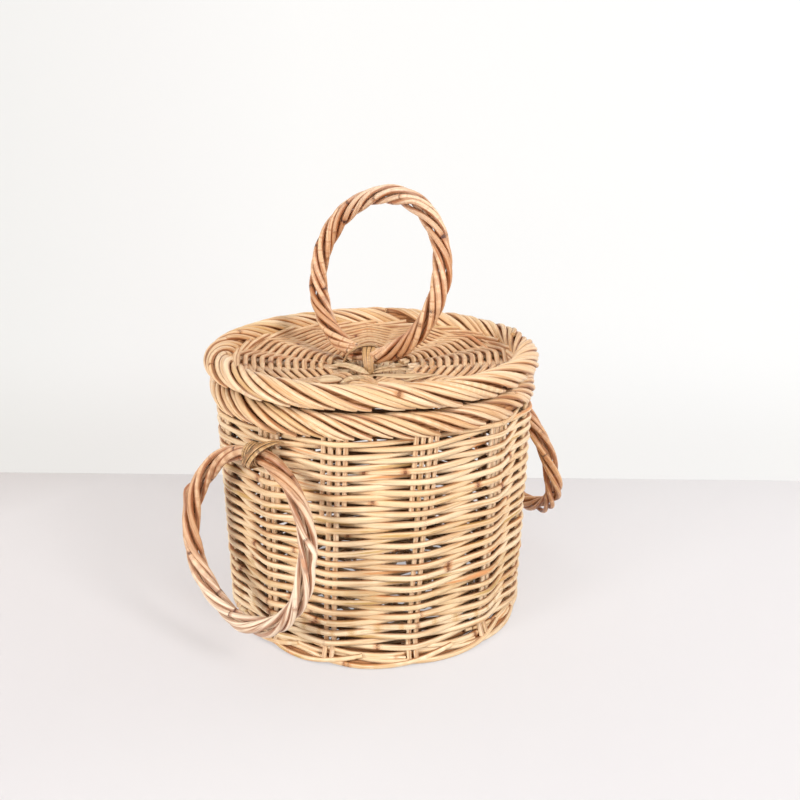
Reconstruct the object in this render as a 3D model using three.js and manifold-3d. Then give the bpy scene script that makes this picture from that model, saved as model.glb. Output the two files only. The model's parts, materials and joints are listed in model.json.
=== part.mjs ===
import * as THREE from 'three';
import { mergeVertices } from 'three/addons/utils/BufferGeometryUtils.js';
import Module from 'manifold-3d';

const wasm = await Module();
wasm.setup();

// Driving sizes, in mm and degrees. The origin is the middle of the underside of the base, +Z is up.
// Cane groups are counted from the left ring handle, which hangs on the -X side.
const gap = 0.3;
const groupsPerHalf = 6;
const wallHeight = 148;
const wallRadiusAtFloor = 95.8;
const wallRadiusAtBorder = 100.4;

const stakeCane = 3.8;
const byeStakeLength = 42;
const sideCane = 3.2;
const sideClearance = 0.75;
const sideLengths = 6;
const baseCaneWidth = 4.8;
const baseCaneThickness = 2.8;
const baseHubRadius = 34;
const upsettBend = 6;
const footWidth = 4.6;
const footCanes = 3;
const footLaysPerGroup = 2;

const borderWidth = 14.2;
const borderHeight = 18;
const borderFlute = 0.13;
const borderOverhang = 1;
const borderCanes = 8;
const borderLaysPerGroup = 3;

const lidBorderWidth = 17.4;
const lidBorderHeight = 16.4;
const lidHubRadius = 27;
const lidSpokeCane = 3.2;
const lidCaneWidth = 2.8;
const lidCaneThickness = 2.6;
const lidDrop = 11.3;
const lidHubTop = 4.4;

const handleRadius = 53.5;
const handleRope = 11.2;
const handleCanes = 5;
const handleLays = 26;
const handleSteps = 36;
const ropeFlute = 0.2;
const strapThickness = 1.8;
const strapWidth = 7;
const lidHandleOffset = 4.8;
const lidHandleAside = 4.2;
const lidHandleTurn = -2.7;
const lidHandleLean = 14.4;
const sideHandleDrop = 10.6;
const sideHandleLean = 10;
const farHandleLean = 17.3;
const farHandleTurn = -10;
const farHandleStandOff = 0.5;
const farHandleGroup = 6;
const bindingBand = 3.6;
const bindingCross = 18;

// Sizes that follow from the driving ones.
const groups = 2 * groupsPerHalf + 1;
const groupStep = (2 * Math.PI) / groups;
const halfStep = groupStep / 2;
const hexFlat = Math.cos(Math.PI / 6);
const caneOverlap = 0.15;

const colours = {
  straw: 0xd9b27c,
  honey: 0xd2a467,
  pale: 0xe4c79c,
  tan: 0xc79a6a,
  olive: 0x8a6a3a,
};

function material(colour) {
  return new THREE.MeshStandardMaterial({ color: colours[colour], roughness: 0.62, metalness: 0 });
}

function groupAngle(index) {
  return Math.PI + index * groupStep;
}

function outward(angle) {
  return new THREE.Vector3(Math.cos(angle), Math.sin(angle), 0);
}

function polar(angle, radius, height) {
  return outward(angle).multiplyScalar(radius).setZ(height);
}

// Skins a list of rings of points into one closed solid. An open list gets flat ends. A closed one joins its
// last ring to its first, turned by a number of points.
function skin(rings, closed = false, turned = 0) {
  const count = rings[0].length;
  const positions = [];
  rings.flat().forEach((point) => positions.push(point.x, point.y, point.z));
  const indices = [];
  const steps = closed ? rings.length : rings.length - 1;
  for (let step = 0; step < steps; step += 1) {
    const here = step * count;
    const wraps = step === rings.length - 1;
    const next = wraps ? 0 : here + count;
    const shift = wraps ? turned : 0;
    for (let side = 0; side < count; side += 1) {
      const a = here + side;
      const b = here + ((side + 1) % count);
      const c = next + ((side + shift) % count);
      const d = next + ((side + 1 + shift) % count);
      indices.push(a, b, d, a, d, c);
    }
  }
  if (!closed) {
    const faces = capFaces(rings[0]);
    const last = (rings.length - 1) * count;
    faces.forEach(([a, b, c]) => indices.push(a, c, b, last + a, last + b, last + c));
  }
  const geometry = new THREE.BufferGeometry();
  geometry.setAttribute('position', new THREE.Float32BufferAttribute(positions, 3));
  geometry.setIndex(indices);
  if (signedVolume(geometry) < 0) {
    for (let face = 0; face < indices.length; face += 3) {
      [indices[face + 1], indices[face + 2]] = [indices[face + 2], indices[face + 1]];
    }
    geometry.setIndex(indices);
  }
  geometry.computeVertexNormals();
  return geometry;
}

// Triangles of a flat ring of points, found in the ring's own plane.
function capFaces(ring) {
  const centre = ring.reduce((sum, point) => sum.add(point), new THREE.Vector3()).divideScalar(ring.length);
  const across = ring[0].clone().sub(centre).normalize();
  const normal = new THREE.Vector3();
  ring.forEach((point, index) => {
    const next = ring[(index + 1) % ring.length];
    normal.add(point.clone().sub(centre).cross(next.clone().sub(centre)));
  });
  const up = normal.normalize().clone().cross(across);
  const outline = ring.map((point) => {
    const arm = point.clone().sub(centre);
    return new THREE.Vector2(arm.dot(across), arm.dot(up));
  });
  return THREE.ShapeUtils.triangulateShape(outline, []);
}

function signedVolume(geometry) {
  const index = geometry.getIndex();
  const position = geometry.getAttribute('position');
  const corners = [new THREE.Vector3(), new THREE.Vector3(), new THREE.Vector3()];
  let volume = 0;
  for (let face = 0; face < index.count; face += 3) {
    corners.forEach((corner, side) => corner.fromBufferAttribute(position, index.getX(face + side)));
    volume += corners[0].dot(corners[1].clone().cross(corners[2])) / 6;
  }
  return volume;
}

function toManifold(geometry) {
  const bare = new THREE.BufferGeometry();
  bare.setAttribute('position', geometry.getAttribute('position').clone());
  if (geometry.getIndex()) {
    bare.setIndex(geometry.getIndex().clone());
  }
  const merged = mergeVertices(bare, 1e-4);
  return new wasm.Manifold(new wasm.Mesh({
    numProp: 3,
    vertProperties: new Float32Array(merged.getAttribute('position').array),
    triVerts: new Uint32Array(merged.getIndex().array),
  }));
}

function fuse(geometries) {
  const solid = wasm.Manifold.union(geometries.map(toManifold));
  const mesh = solid.getMesh();
  const geometry = new THREE.BufferGeometry();
  geometry.setAttribute('position', new THREE.Float32BufferAttribute(mesh.vertProperties, 3));
  geometry.setIndex(Array.from(mesh.triVerts));
  geometry.computeVertexNormals();
  return geometry;
}

// How far a strand's middle stays from the middle of the canes that it crosses, so that it clears the outer
// cane of the group too. span is the way to the next group, turn the wall's own corner, setBack how far the
// outer cane lies behind the middle ones.
function crossingOffset(reach, span, turn, outerCane, setBack = 0) {
  let offset = reach;
  for (let pass = 0; pass < 8; pass += 1) {
    const slope = Math.tan(turn) + (2 * offset) / span;
    offset = reach * Math.hypot(1, slope) + slope * outerCane - setBack;
  }
  return offset;
}

// One weaver as a four-sided cane. It passes one group a step, on the other side each time, and the odd
// number of groups brings it to the other side on the next row too. place gives its middle at a group and
// the two half diagonals of its section.
function weaver(from, to, place) {
  const stops = [from];
  for (let group = Math.ceil(from + 1e-6); group < to; group += 1) {
    stops.push(group);
  }
  stops.push(to);
  const rings = stops.map((stop) => {
    const before = Math.floor(stop);
    const share = stop - before;
    const centre = place(before).centre.lerp(place(before + 1).centre, share);
    const { across, along } = place(stop);
    return [
      centre.clone().add(across),
      centre.clone().add(along),
      centre.clone().sub(across),
      centre.clone().sub(along),
    ];
  });
  return skin(rings);
}

function otherSide(index) {
  return Math.round(index) % 2 === 0 ? 1 : -1;
}

// A ring of canes laid round each other: a closed tube with a fluted section that turns as it goes.
function laidRing({ radius, width, height, canes, lays, steps, depth, corners = false }) {
  const points = 2 * canes;
  const rings = [];
  for (let step = 0; step < steps; step += 1) {
    const angle = (2 * Math.PI * step) / steps;
    const ring = [];
    for (let point = 0; point < points; point += 1) {
      const turn = (2 * Math.PI * point) / points - (angle * lays) / canes;
      const reach = point % 2 === 0 ? 1 : 1 - depth;
      const middle = corners ? cornered(radius, angle) : radius;
      const away = middle + (width / 2) * reach * Math.cos(turn);
      ring.push(polar(angle, away, (height / 2) * reach * Math.sin(turn)));
    }
    rings.push(ring);
  }
  return skin(rings, true, points - ((2 * lays) % points));
}

// Radius at an angle of a ring that bends at the groups and runs straight between them.
function cornered(radius, angle) {
  const past = (((angle - groupAngle(0)) % groupStep) + groupStep) % groupStep;
  return (radius * Math.cos(halfStep)) / Math.cos(past - halfStep);
}

// Outline of two canes side by side, across and deep, in mm from the middle of the pair.
function pairOutline(cane) {
  const side = (cane / 2) * hexFlat;
  const right = [
    [0, cane / 4],
    [side, cane / 2],
    [2 * side, cane / 4],
    [2 * side, -cane / 4],
    [side, -cane / 2],
  ];
  const left = right.map(([across, deep]) => [-across, -deep]);
  return right.concat(left);
}

// The wall stands on the base, so its radius is taken along the straight stakes.
const pairArm = (stakeCane / 2) * hexFlat;
const byeArm = 3 * pairArm - caneOverlap;

function wallRadius(height) {
  return wallRadiusAtFloor + ((wallRadiusAtBorder - wallRadiusAtFloor) * height) / wallHeight;
}

const sideReach = (stakeCane + sideCane) / 2 + gap;
const wallSpan = 2 * wallRadiusAtFloor * Math.sin(halfStep);
const byeSlope = Math.tan(halfStep) + (2 * (sideReach + pairArm)) / wallSpan;
const byeSetBack = (byeSlope * byeArm + sideReach * (Math.hypot(1, byeSlope) - 1)) / 2;
const sideOffset = Math.max(
  crossingOffset(sideReach, wallSpan, halfStep, pairArm),
  crossingOffset(sideReach, wallSpan, halfStep, byeArm, byeSetBack),
  sideReach + byeSetBack,
);
const sideMitre = sideCane / 2 / Math.cos(halfStep + Math.atan((2 * sideOffset) / wallSpan));
const wallSkin = sideOffset + sideMitre;

const baseReach = (stakeCane + baseCaneThickness) / 2 + gap;
const baseFirst = (baseHubRadius + gap + baseCaneWidth / 2) / Math.cos(halfStep);
const baseOffset = (radius) => crossingOffset(baseReach, 2 * radius * Math.sin(halfStep), 0, pairArm);
const baseSlope = baseOffset(baseFirst) / (baseFirst * Math.sin(halfStep));
const baseMitre = (baseCaneThickness / 2) * Math.hypot(1, baseSlope);
const spokeHeight = baseOffset(baseFirst) + baseMitre + gap;

// Base: the hub, the bottom ends of the stakes and the flat cane woven through them.
function hub(radius, bottom, top) {
  const edge = (top - bottom) / 4;
  const profile = [
    [0, bottom],
    [radius - edge, bottom],
    [radius, bottom + edge],
    [radius, top - edge],
    [radius - edge, top],
    [0, top],
  ].map(([x, y]) => new THREE.Vector2(x, y));
  const turned = new THREE.LatheGeometry(profile, 4 * groupsPerHalf);
  turned.rotateX(Math.PI / 2);
  return fuse([turned]);
}

// Woven disc: a weaver that runs outwards in a spiral, over and under the groups at one height.
function discWeaver(first, last, height, { width, thickness, offset }) {
  const pitch = width / Math.cos(halfStep) + gap;
  const turns = Math.floor((last - first) / pitch);
  const place = (index) => {
    const angle = groupAngle(index);
    const radius = first + (pitch * index) / groups;
    const rise = offset(radius) * otherSide(index);
    const slope = Math.atan((2 * offset(radius)) / (2 * radius * Math.sin(halfStep)));
    return {
      centre: polar(angle, radius, height + rise),
      across: new THREE.Vector3(0, 0, thickness / 2 / Math.cos(slope)),
      along: outward(angle).multiplyScalar((pitch - gap) / 2),
    };
  };
  return weaver(0, turns * groups, place);
}

// Stake: a pair of canes that runs out from the hub, turns up at the foot and stands to the border. Near the
// top a bye-stake lies on each side of the pair.
function stake(index) {
  const angle = groupAngle(index);
  const out = outward(angle);
  const side = outward(angle + Math.PI / 2);
  const lean = Math.atan((wallRadiusAtBorder - wallRadiusAtFloor) / wallHeight);
  const bendEnd = spokeHeight + upsettBend;
  const bendSteps = 2;
  const stops = [{ away: baseHubRadius + gap, height: spokeHeight, tilt: 0 }];
  for (let step = 0; step <= bendSteps; step += 1) {
    const tilt = ((Math.PI / 2 - lean) * step) / bendSteps;
    const away = wallRadius(bendEnd) - upsettBend * Math.cos(lean) + upsettBend * Math.sin(tilt);
    stops.push({ away, height: spokeHeight + upsettBend * (1 - Math.cos(tilt)), tilt });
  }
  stops.push({ away: wallRadius(wallHeight - gap), height: wallHeight - gap, tilt: Math.PI / 2 - lean });
  const outline = pairOutline(stakeCane);
  const rings = stops.map(({ away, height, tilt }) => outline.map(([across, deep]) => (
    out.clone().multiplyScalar(away - deep * Math.sin(tilt))
      .addScaledVector(side, across)
      .setZ(height + deep * Math.cos(tilt))
  )));
  const pair = skin(rings);
  const byeStakes = [-1, 1].map((hand) => byeStake(out, side, hand));
  return fuse([pair, ...byeStakes]);
}

function byeStake(out, side, hand) {
  const rings = [wallHeight - gap - byeStakeLength, wallHeight - gap].map((height) => {
    const ring = [];
    for (let corner = 0; corner < 6; corner += 1) {
      const turn = Math.PI / 6 + (corner * Math.PI) / 3;
      const across = hand * byeArm + (stakeCane / 2) * Math.cos(turn);
      const away = wallRadius(height) - byeSetBack + (stakeCane / 2) * Math.sin(turn);
      ring.push(out.clone().multiplyScalar(away).addScaledVector(side, across).setZ(height));
    }
    return ring;
  });
  return skin(rings);
}

// Side: lengths of round cane, one after the other in one long spiral.
const sidePitch = sideCane + gap;
const sideFirst = spokeHeight + (stakeCane + sideCane) / 2 + sideClearance;
const sideLast = wallHeight - gap - sideCane / 2;
const sideGroups = Math.floor(((sideLast - sideFirst) / sidePitch) * groups);

function sidePlace(index) {
  const angle = groupAngle(index);
  const height = sideFirst + (sidePitch * index) / groups;
  return {
    centre: polar(angle, wallRadius(height) + sideOffset * otherSide(index), height),
    across: outward(angle).multiplyScalar(sideMitre),
    along: new THREE.Vector3(0, 0, sideCane / 2),
  };
}

function sideWeaver(length) {
  const share = sideGroups / sideLengths;
  const cut = gap / wallSpan / 2;
  const from = length === 0 ? 0 : Math.floor(length * share) + 0.5 + cut;
  const to = length === sideLengths - 1 ? sideGroups : Math.floor((length + 1) * share) + 0.5 - cut;
  return weaver(from, to, sidePlace);
}

// Foot and borders.
function foot() {
  const height = sideFirst - sideCane / 2 - gap;
  const bendTop = spokeHeight + upsettBend - height;
  const bendReach = upsettBend + stakeCane / 2;
  const bendOuter = wallRadius(height) - upsettBend + Math.sqrt(bendReach ** 2 - bendTop ** 2);
  const radius = bendOuter + 2 * pairArm * Math.tan(halfStep) + gap + footWidth / 2;
  const size = { radius, width: footWidth, height, corners: true };
  const lays = footLaysPerGroup * groups;
  const ring = laidRing({ ...size, canes: footCanes, lays, steps: 4 * groups, depth: ropeFlute });
  return ring.translate(0, 0, height / 2);
}

const borderRadius = wallRadius(wallHeight) + wallSkin + borderOverhang - borderWidth / 2;
const borderMiddle = wallHeight + borderHeight / 2;
const borderLays = borderLaysPerGroup * groups;
const borderTwist = { canes: borderCanes, lays: borderLays, steps: borderLays, depth: borderFlute };

function bodyBorder() {
  const size = { radius: borderRadius, width: borderWidth, height: borderHeight };
  return laidRing({ ...size, ...borderTwist }).translate(0, 0, borderMiddle);
}

const lidBorderMiddle = wallHeight + borderHeight + gap + lidBorderHeight / 2;

function lidBorder() {
  const size = { radius: borderRadius, width: lidBorderWidth, height: lidBorderHeight };
  return laidRing({ ...size, ...borderTwist }).translate(0, 0, lidBorderMiddle);
}

// Lid: a woven disc that drops into the mouth, hung on spokes from its own border.
const lidSpokeHeight = lidBorderMiddle - lidDrop;
const lidReach = (lidSpokeCane + lidCaneThickness) / 2 + gap;
const lidPairArm = (lidSpokeCane / 2) * hexFlat;
const lidOffset = (radius) => crossingOffset(lidReach, 2 * radius * Math.sin(halfStep), 0, lidPairArm);
const lidDiscRadius = borderRadius - borderWidth / 2 - lidCaneWidth;

function lidSpoke(index) {
  const angle = groupAngle(index);
  const out = outward(angle);
  const side = outward(angle + Math.PI / 2);
  const rimAngle = Math.atan2(lidBorderMiddle - lidSpokeHeight, borderRadius - lidDiscRadius);
  const rimReach = (lidBorderWidth / 2) * (1 - borderFlute / 2) + gap;
  const endAway = borderRadius - rimReach * Math.cos(rimAngle);
  const endHeight = lidBorderMiddle - rimReach * Math.sin(rimAngle);
  const rise = Math.atan2(endHeight - lidSpokeHeight, endAway - lidDiscRadius);
  const stops = [
    { away: lidHubRadius + gap, height: lidSpokeHeight, tilt: 0 },
    { away: lidDiscRadius, height: lidSpokeHeight, tilt: rise / 2 },
    { away: endAway, height: endHeight, tilt: rise },
  ];
  const outline = pairOutline(lidSpokeCane);
  const rings = stops.map(({ away, height, tilt }) => outline.map(([across, deep]) => (
    out.clone().multiplyScalar(away - deep * Math.sin(tilt))
      .addScaledVector(side, across)
      .setZ(height + deep * Math.cos(tilt))
  )));
  return skin(rings);
}

// Handles: ropes of laid cane bent into rings, each held at one point by a band of split cane.
function handleRing() {
  const size = { radius: handleRadius, width: handleRope, height: handleRope };
  const twist = { canes: handleCanes, lays: handleLays, steps: handleSteps, depth: ropeFlute };
  return laidRing({ ...size, ...twist }).rotateX(Math.PI / 2);
}

// An arch over a rope that runs along Y, with legs that stand on z = 0.
function arch(opening, rise, width) {
  const outer = opening + strapThickness;
  const shape = new THREE.Shape();
  shape.moveTo(outer, 0);
  shape.lineTo(outer, rise);
  shape.absarc(0, rise, outer, 0, Math.PI, false);
  shape.lineTo(-outer, 0);
  shape.lineTo(-opening, 0);
  shape.lineTo(-opening, rise);
  shape.absarc(0, rise, opening, Math.PI, 0, true);
  shape.lineTo(opening, 0);
  const band = new THREE.ExtrudeGeometry(shape, { depth: width, bevelEnabled: false, curveSegments: 10 });
  return band.translate(0, 0, -width / 2).rotateX(Math.PI / 2);
}

const lidHubHeight = lidSpokeHeight + lidHubTop;
const lidHandleFoot = lidHubHeight + gap + handleRope / 2;
const radians = THREE.MathUtils.degToRad;

function lidHandle() {
  return handleRing()
    .rotateZ(Math.PI / 2)
    .translate(0, 0, handleRadius)
    .rotateY(radians(lidHandleLean))
    .translate(-lidHandleOffset, lidHandleAside, lidHandleFoot)
    .rotateZ(radians(lidHandleTurn));
}

function lidStrap() {
  const rise = lidHandleFoot - lidHubHeight - gap;
  return arch(handleRope / 2 + gap, rise, strapWidth)
    .translate(-lidHandleOffset, lidHandleAside, lidHubHeight + gap)
    .rotateZ(radians(lidHandleTurn));
}

// A side handle hangs below the border, where its binding can stand on a row that passes outside its group.
const bindingOpening = handleRope / 2 + gap + (bindingBand / 2) * Math.tan(radians(bindingCross));
const bindingLeg = (bindingOpening + strapThickness / 2) * Math.cos(radians(bindingCross));

function handleHeight(group) {
  const room = wallHeight - sideHandleDrop - bindingLeg - sidePlace(group).centre.z;
  const rows = Math.floor(room / (2 * sidePitch));
  return sidePlace(group + 2 * rows * groups).centre.z + bindingLeg;
}

// A handle that hangs turned out of the wall's own direction stands off by as much as its binding's foot
// would otherwise sink into the wall.
const bindingArm = handleRope / 2 + gap / 2;
const bindingFoot = bindingOpening * Math.sin(radians(bindingCross)) + bindingBand / 2;

function handleAway(group, turn) {
  const bend = Math.abs(radians(turn));
  const sunk = bindingFoot * Math.sin(bend) - bindingArm * (1 - Math.cos(bend));
  const standOff = turn === 0 ? 0 : farHandleStandOff;
  return wallRadius(handleHeight(group)) + wallSkin + gap / 2 + sunk + standOff + bindingArm;
}

function sideHandle(group, lean, turn) {
  return handleRing()
    .rotateZ(Math.PI / 2)
    .translate(0, 0, -handleRadius)
    .rotateY(-radians(lean))
    .rotateZ(radians(turn))
    .translate(handleAway(group, turn), 0, handleHeight(group))
    .rotateZ(groupAngle(group));
}

function sideBinding(group, turn) {
  const bands = [-1, 1].map((hand) => (
    arch(bindingOpening, bindingArm, bindingBand)
      .rotateZ(hand * radians(bindingCross))
      .rotateY(Math.PI / 2)
  ));
  return fuse(bands)
    .translate(-bindingArm, 0, 0)
    .rotateZ(radians(turn))
    .translate(handleAway(group, turn), 0, handleHeight(group))
    .rotateZ(groupAngle(group));
}

const basket = new THREE.Group();

function add(name, geometry, colour) {
  const mesh = new THREE.Mesh(geometry, material(colour));
  mesh.name = name;
  basket.add(mesh);
}

const baseLast = wallRadius(0) - wallSkin - gap - baseCaneWidth / 2;
const baseCane = { width: baseCaneWidth, thickness: baseCaneThickness, offset: baseOffset };
add('base_hub', hub(baseHubRadius, 0, spokeHeight + stakeCane / 2), 'tan');
add('base_weaver', discWeaver(baseFirst, baseLast, spokeHeight, baseCane), 'tan');
add('foot_ring', foot(), 'straw');
for (let group = 0; group < groups; group += 1) {
  add(`stake_${group}`, stake(group), 'pale');
}
for (let length = 0; length < sideLengths; length += 1) {
  add(`side_weaver_${length}`, sideWeaver(length), 'straw');
}
add('body_border', bodyBorder(), 'honey');

const lidFirst = (lidHubRadius + gap + lidCaneWidth / 2) / Math.cos(halfStep);
const lidLast = lidDiscRadius - lidCaneWidth / 2;
const lidCane = { width: lidCaneWidth, thickness: lidCaneThickness, offset: lidOffset };
add('lid_hub', hub(lidHubRadius, lidSpokeHeight - lidSpokeCane / 2, lidHubHeight), 'pale');
for (let group = 0; group < groups; group += 1) {
  add(`lid_spoke_${group}`, lidSpoke(group), 'pale');
}
add('lid_weaver', discWeaver(lidFirst, lidLast, lidSpokeHeight, lidCane), 'straw');
add('lid_border', lidBorder(), 'honey');
add('lid_handle_strap', lidStrap(), 'olive');
add('lid_handle_ring', lidHandle(), 'tan');

add('left_handle_ring', sideHandle(0, sideHandleLean, 0), 'tan');
add('left_handle_binding', sideBinding(0, 0), 'olive');
add('right_handle_ring', sideHandle(farHandleGroup, farHandleLean, farHandleTurn), 'tan');
add('right_handle_binding', sideBinding(farHandleGroup, farHandleTurn), 'olive');

export default basket;
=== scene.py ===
import json
import math
import random

import bpy
import numpy as np
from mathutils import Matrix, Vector


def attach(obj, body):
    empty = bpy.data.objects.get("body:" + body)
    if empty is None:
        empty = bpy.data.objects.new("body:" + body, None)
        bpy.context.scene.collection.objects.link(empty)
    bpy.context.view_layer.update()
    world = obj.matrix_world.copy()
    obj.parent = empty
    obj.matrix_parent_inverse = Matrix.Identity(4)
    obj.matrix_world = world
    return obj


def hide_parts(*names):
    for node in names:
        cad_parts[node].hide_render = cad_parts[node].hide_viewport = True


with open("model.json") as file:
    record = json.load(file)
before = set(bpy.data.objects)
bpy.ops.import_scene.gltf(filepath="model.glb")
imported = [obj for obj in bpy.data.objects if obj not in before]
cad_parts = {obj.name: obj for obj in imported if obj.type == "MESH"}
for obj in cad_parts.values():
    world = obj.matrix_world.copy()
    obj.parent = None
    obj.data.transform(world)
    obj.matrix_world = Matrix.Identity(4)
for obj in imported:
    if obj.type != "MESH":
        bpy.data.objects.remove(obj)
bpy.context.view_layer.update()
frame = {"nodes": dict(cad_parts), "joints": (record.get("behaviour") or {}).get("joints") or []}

# Sizes in millimetres. The wall, the hubs, the borders and the rings have those of the solids.
MM = 0.001
GROUPS = 13
STEP = 2 * math.pi / GROUPS
WALL_HEIGHT = 148
WALL_RADIUS_AT_FLOOR = 95.8
WALL_RADIUS_AT_BORDER = 100.4
WALL_TWIST = math.radians(-4.6)
SPOKE_HEIGHT = 6.94
BASE_HUB_RADIUS = 34
FOOT_RADIUS = 102.5

BORDER_RADIUS = 101.26
BORDER_MIDDLE = 157
LID_BORDER_MIDDLE = 174.5
LID_SPOKE_HEIGHT = 163.2
LID_HUB_RADIUS = 27
LID_DISC_RADIUS = 92
LID_DISH = 6.0
HANDLE_RADIUS = 53.5

# How thick canes are. In the wall, how far out the weave's middle and the stakes stand, and how
# far a weaver passes in front of that middle or behind it.
STAKE_CANE = 3.3
SIDE_CANE = 4.0
FOOT_CANE = 3.7
BASE_RIM_CANE = 4.2
BASE_ROW_CANE = 4.9
BASE_STICK = 3.8
BORDER_CANE = 3.8
CORE_CANE = 3.9
LID_RIM_CANE = 4.0
LID_ROW_CANE = 3.9
LID_SPOKE_CANE = 3.2
LID_STICK = 4.4
HANDLE_CANE = 3.9
TIE_CANE = 3.1
COIL_CANE = 1.7
ARCH_CANE = 2.3
BAND_CANE = 2.9
STAKE_SHIFT = 2.2
STAKE_OUT = 2.8
SIDE_OFFSET = 3.1

# Rows of the weave, and how many groups one length of cane passes before the next one starts.
FIRST_ROW = 11.19
LAST_ROW = 149.5
ROW_PITCH = 3.5
LID_ROW_PITCH = 2.8
SIDE_LENGTHS = (24, 38)
DISC_LENGTHS = (24, 40)

# For each group, how many degrees it stands off its even place, and how far in its foot is.
GROUP_NUDGES = (2.2, -1.2, 0.8, 3.4, 1.6, 0.3, 1.0, 1.8, 0.5, 1.6, 0.1, 1.4, 1.9)
FOOT_INSETS = (3.5, 0, 0, 0.5, 3.5, 5, 4, 3, 3, 3, 4, 5, 5)

UP = np.array([0.0, 0.0, 1.0])

chance = random.Random(20)


def new_object(name, data):
    thing = bpy.data.objects.new(name, data)
    bpy.context.scene.collection.objects.link(thing)
    return thing


# Nodes, for finishes and swept canes alike.
class Value:
    """A socket of a node tree, with sums written as Python expressions."""

    def __init__(self, tree, socket):
        self.tree = tree
        self.socket = socket

    def maths(self, operation, other=None, swapped=False):
        pair = (other, self) if swapped else (self, other)
        inputs = {index: item for index, item in enumerate(pair) if item is not None}
        return put(self.tree, "ShaderNodeMath", {"operation": operation}, inputs)

    def __add__(self, other):
        return self.maths("ADD", other)

    def __radd__(self, other):
        return self.maths("ADD", other, True)

    def __sub__(self, other):
        return self.maths("SUBTRACT", other)

    def __rsub__(self, other):
        return self.maths("SUBTRACT", other, True)

    def __mul__(self, other):
        return self.maths("MULTIPLY", other)

    def __rmul__(self, other):
        return self.maths("MULTIPLY", other, True)

    def __truediv__(self, other):
        return self.maths("DIVIDE", other)

    def __rtruediv__(self, other):
        return self.maths("DIVIDE", other, True)


def put(tree, kind, settings=None, inputs=None, output=0):
    """Adds a node: its settings first, then the values or links of its sockets."""
    node = tree.nodes.new(kind)
    for name, setting in (settings or {}).items():
        if name == "stops":
            set_stops(node.color_ramp, setting)
        else:
            setattr(node, name, setting)
    for key, item in (inputs or {}).items():
        if isinstance(item, Value):
            tree.links.new(item.socket, node.inputs[key])
        else:
            node.inputs[key].default_value = item
    return Value(tree, node.outputs[output]) if node.outputs else node


def set_stops(ramp, stops):
    while len(ramp.elements) < len(stops):
        ramp.elements.new(0.5)
    for element, (position, colour) in zip(ramp.elements, stops):
        element.position = position
        element.color = (*colour, 1)


def vector(tree, x, y, z=0.0):
    return put(tree, "ShaderNodeCombineXYZ", None, {0: x, 1: y, 2: z})


def mixed(tree, share, first, second, blend="MIX"):
    """Mixes two colours."""
    settings = {"data_type": "RGBA", "blend_type": blend}
    colours = [item if isinstance(item, Value) else (*item, 1) for item in (first, second)]
    return put(tree, "ShaderNodeMix", settings, {0: share, 6: colours[0], 7: colours[1]}, 2)


def smooth_step(tree, value, low, high, start=0.0, end=1.0):
    settings = {"interpolation_type": "SMOOTHSTEP"}
    return put(tree, "ShaderNodeMapRange", settings, {0: value, 1: low, 2: high, 3: start, 4: end})


def noise(tree, place, detail=2.0, roughness=0.5):
    inputs = {"Vector": place, "Scale": 1.0, "Detail": detail, "Roughness": roughness}
    return put(tree, "ShaderNodeTexNoise", None, inputs)


def drawn(tree, key):
    """A random number from 0 to 1, the same wherever the key is the same."""
    return put(tree, "ShaderNodeTexWhiteNoise", {"noise_dimensions": "1D"}, {"W": key}, 0)


def object_place(tree):
    return put(tree, "ShaderNodeTexCoord", None, None, 3)


def how_far(tree, place, direction):
    """How far a place lies along a direction."""
    settings = {"operation": "DOT_PRODUCT"}
    return put(tree, "ShaderNodeVectorMath", settings, {0: place, 1: direction}, 1)


def new_finish(name):
    finish = bpy.data.materials.new(name)
    finish.use_nodes = True
    finish.node_tree.nodes.clear()
    return finish, finish.node_tree


# Cane finishes.
def rgb(red, green, blue):
    """Linear colour from 0 to 255 screen values."""
    def linear(value):
        value /= 255
        return value / 12.92 if value < 0.04045 else ((value + 0.055) / 1.055) ** 2.4
    return tuple(linear(value) for value in (red, green, blue))


# Painted shade: the brown that canes' sides get where they press together.
SIDE_SHADE_BROWN = rgb(150, 78, 30)
# Painted shade on the face of a cane that looks into the basket, where it lies in shade.
INNER_SHADE_BROWN = rgb(126, 76, 42)
# Painted shade: the darker brown on the sides of the binding's strips.
DARK_SHADED_EDGE = rgb(76, 44, 22)
# The palest tone that canes grow towards along a given direction.
PALEST_CANE = rgb(250, 230, 203)

# How fine each kind of mark is, in a metre along the cane and on a round section of radius 1.
STREAKS_ALONG, STREAKS_ROUND = 26, 1.1
FIBRES_ALONG, FIBRES_ROUND = 45, 9
BLOTCHES_ALONG, BLOTCHES_ROUND = 16, 0.5

# Where each mark sets in and where it is full, in its pattern, and how strong it grows.
STRAY_CANES = (0.8, 0.95, 0, 0.45)
DEEP_STREAKS = (0.45, 0.75)
DEEP_FIBRES = (0.5, 0.8, 0, 0.45)
PALE_FIBRES = (0.42, 0.2, 0, 0.4)
RUSTY_CANES = (0.55, 0.65)
# Painted shade on the sides: where it sets in and where it is full.
SHADED_SIDES = (0.7, 1.0)
# Painted shade on the face that looks into the basket: where it sets in and where it is full.
SHADED_INSIDE = (0.1, -0.5)
STAIN_SHARE = 0.8
PALEST_SHARE = 0.85

# Knots, in metres along the cane: one place for each spacing, a thin dark ring and a soft halo.
KNOT_SPACING = 0.045
KNOT_RING = (0.0014, 0.0006)
KNOT_HALO = (0.0042, 0.001)
KNOT_PATCHES = (0.3, 0.45)
RING_SHARE = 0.95
HALO_SHARE = 0.75

# How far fibres, streaks, rings and halos stand up, and how dull fibres, stains and rings are.
FIBRE_RISE, STREAK_RISE, RING_RISE, HALO_RISE = 0.4, 0.6, 0.8, 0.5
FIBRE_DULL, STAIN_DULL, RING_DULL = 0.25, 0.12, 0.15


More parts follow.
